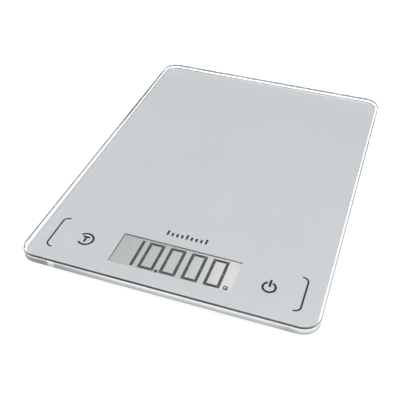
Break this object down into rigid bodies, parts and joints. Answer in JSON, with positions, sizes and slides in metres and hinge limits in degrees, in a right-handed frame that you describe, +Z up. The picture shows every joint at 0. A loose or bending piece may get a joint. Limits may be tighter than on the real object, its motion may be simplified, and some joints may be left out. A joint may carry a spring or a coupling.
{
  "type": "kitchen scale",
  "caption": "Flat electronic kitchen scale: a glass weighing platform with a display and touch keys, on a shallow housing with sprung load-cell feet.",
  "frame": {"origin": "middle of the footprint, on the plane that the feet rest on", "axes": "+Z up, +Y to the back along the long side, -Y is the front with the display, +X to the right"},
  "size_m": [0.2, 0.275, 0.018],
  "materials": {
    "clear_glass": "polished tempered float glass",
    "silver_print": "satin silver screen print seen through the glass",
    "foam_tape": "matt closed-cell foam",
    "housing_plastic": "fine spark-eroded texture",
    "black_foam": "matt",
    "display_glass": "polished, under a polarising film",
    "reflector_film": "satin",
    "black_plastic": "satin",
    "contact_elastomer": "matt silicone with carbon layers",
    "circuit_board": "glass-epoxy under a green solder mask",
    "black_resin": "glossy epoxy",
    "nickel": "nickel plate",
    "ceramic_chip": "fired ceramic",
    "white_nylon": "satin",
    "screw_steel": "zinc plate",
    "amber_film": "polyimide over copper",
    "button_plastic": "satin",
    "battery_steel": "nickel-plated steel",
    "wire_insulation": "soft PVC",
    "spring_steel": "blued and ground strip",
    "white_potting": "satin silicone",
    "foot_plastic": "satin",
    "pad_rubber": "matt, with ring grooves"
  },
  "bodies": {
    "platform": {"back_print": "silver_print", "base_housing": "housing_plastic", "battery_contact_negative": "nickel", "battery_contact_positive": "nickel", "battery_header": "white_nylon", "battery_leads": "wire_insulation", "board_screws": "screw_steel", "chip_capacitors": "ceramic_chip", "coin_cell": "battery_steel", "controller_chip": "black_resin", "display_frame": "black_plastic", "display_gasket": "black_foam", "glass_platform": "clear_glass", "lcd_front_glass": "display_glass", "lcd_rear_glass": "display_glass", "lcd_reflector": "reflector_film", "load_cell_back_left": "spring_steel", "load_cell_back_right": "spring_steel", "load_cell_front_left": "spring_steel", "load_cell_front_right": "spring_steel", "load_cell_screws": "screw_steel", "load_cell_wires_back_left": "wire_insulation", "load_cell_wires_back_right": "wire_insulation", "load_cell_wires_front_left": "wire_insulation", "load_cell_wires_front_right": "wire_insulation", "main_board": "circuit_board", "mounting_tape": "foam_tape", "quartz_crystal": "nickel", "strain_gauge_back_left": "white_potting", "strain_gauge_back_right": "white_potting", "strain_gauge_front_left": "white_potting", "strain_gauge_front_right": "white_potting", "touch_contact_block": "contact_elastomer", "touch_flex": "amber_film", "unit_switch": "black_plastic", "wire_header_left": "white_nylon", "wire_header_right": "white_nylon", "zebra_strip": "contact_elastomer"},
    "foot_front_left": {"load_tongue_front_left": "spring_steel", "foot_front_left": "foot_plastic", "foot_pad_front_left": "pad_rubber"},
    "foot_front_right": {"load_tongue_front_right": "spring_steel", "foot_front_right": "foot_plastic", "foot_pad_front_right": "pad_rubber"},
    "foot_back_left": {"load_tongue_back_left": "spring_steel", "foot_back_left": "foot_plastic", "foot_pad_back_left": "pad_rubber"},
    "foot_back_right": {"load_tongue_back_right": "spring_steel", "foot_back_right": "foot_plastic", "foot_pad_back_right": "pad_rubber"},
    "battery_cover": {"battery_cover": "housing_plastic"},
    "unit_button": {"unit_button": "button_plastic"}
  },
  "joints": [
    {"name": "foot_front_left_travel", "type": "slide", "parent": "platform", "child": "foot_front_left", "axis": [0, 0, 1], "range_m": [0, 0.0005], "stiffness_N_per_m": 1000, "springref_m": -0.004},
    {"name": "foot_front_right_travel", "type": "slide", "parent": "platform", "child": "foot_front_right", "axis": [0, 0, 1], "range_m": [0, 0.0005], "stiffness_N_per_m": 1000, "springref_m": -0.004},
    {"name": "foot_back_left_travel", "type": "slide", "parent": "platform", "child": "foot_back_left", "axis": [0, 0, 1], "range_m": [0, 0.0005], "stiffness_N_per_m": 1000, "springref_m": -0.004},
    {"name": "foot_back_right_travel", "type": "slide", "parent": "platform", "child": "foot_back_right", "axis": [0, 0, 1], "range_m": [0, 0.0005], "stiffness_N_per_m": 1000, "springref_m": -0.004},
    {"name": "battery_cover_slide", "type": "slide", "parent": "platform", "child": "battery_cover", "axis": [0, 1, 0], "range_m": [0, 0.038]},
    {"name": "unit_button_press", "type": "slide", "parent": "platform", "child": "unit_button", "axis": [0, 0, 1], "range_m": [0, 0.0005], "stiffness_N_per_m": 3000, "springref_m": -0.0001}
  ]
}
